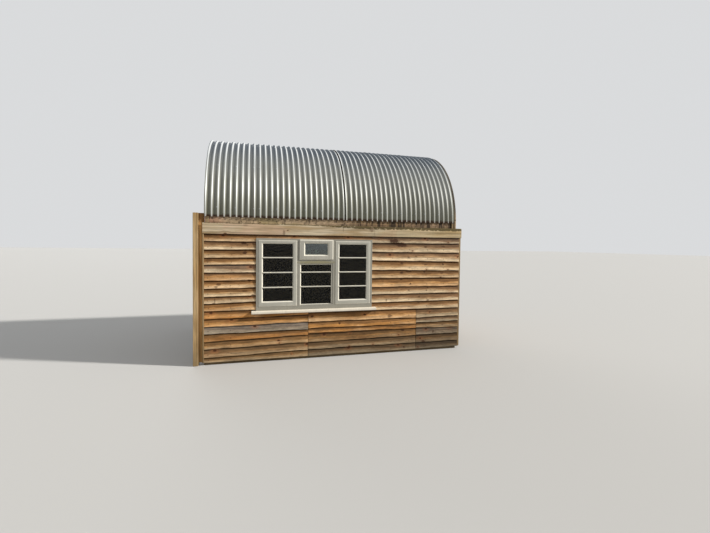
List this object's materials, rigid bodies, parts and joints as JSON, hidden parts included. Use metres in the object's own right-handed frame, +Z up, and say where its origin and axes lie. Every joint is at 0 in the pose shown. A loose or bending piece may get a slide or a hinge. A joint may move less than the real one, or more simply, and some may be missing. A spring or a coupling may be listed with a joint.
{
  "type": "shepherds hut",
  "caption": "Boarded timber cabin on bearers with a half-round roof of curved corrugated sheets, a barred casement window with a projecting sill in its long side and a boarded door in its end.",
  "frame": {"origin": "centre of the hut's box in plan, at the underside of the floor bearers", "axes": "+X to the right along the front with the window, +Y from the front to the back, +Z up"},
  "size_m": [3.83, 2.45, 3.1362],
  "materials": {
    "galvanised_sheet": "weathered galvanised",
    "lapped_board": "rough sawn, honey brown, weathered",
    "pale_board": "sawn, pale",
    "dark_board": "sawn, stained dark",
    "weathered_beam": "weathered grey brown",
    "gable_board": "sawn, weathered",
    "wall_lining": "planed",
    "floor_timber": "sawn, damp",
    "window_paint": "light grey paint",
    "sill_paint": "off-white paint",
    "window_glass": "clear, dark room behind",
    "black_iron": "black"
  },
  "bodies": {
    "root": {"floor_end_joists": "floor_timber", "floor_bearers": "floor_timber", "floor_deck": "floor_timber", "front_wall": "wall_lining", "back_wall": "wall_lining", "left_end_wall": "wall_lining", "right_end_wall": "wall_lining", "front_eaves_beam": "weathered_beam", "back_eaves_beam": "weathered_beam", "left_end_plate": "weathered_beam", "right_end_plate": "weathered_beam", "left_gable": "gable_board", "right_gable": "gable_board", "left_arch_board": "pale_board", "right_arch_board": "pale_board", "roof_boards": "wall_lining", "roof_sheet_1": "galvanised_sheet", "roof_sheet_2": "galvanised_sheet", "roof_sheet_3": "galvanised_sheet", "roof_sheet_4": "galvanised_sheet", "roof_sheet_5": "galvanised_sheet", "roof_sheet_6": "galvanised_sheet", "front_cladding": "lapped_board", "back_cladding": "lapped_board", "left_end_cladding": "lapped_board", "right_end_cladding": "lapped_board", "front_top_boards": "pale_board", "back_top_boards": "pale_board", "end_top_boards": "pale_board", "left_corner_post": "pale_board", "left_corner_board": "dark_board", "corner_strips": "pale_board", "window_frame": "window_paint", "window_sill": "sill_paint", "left_casement": "window_paint", "right_casement": "window_paint", "fanlight_sash": "sill_paint", "fanlight_stay": "sill_paint", "centre_bars": "window_paint", "window_glass": "window_glass", "door_frame": "window_paint", "door_threshold": "floor_timber", "door_leaf": "window_paint", "door_hinges": "black_iron", "door_latch": "black_iron"}
  },
  "joints": []
}
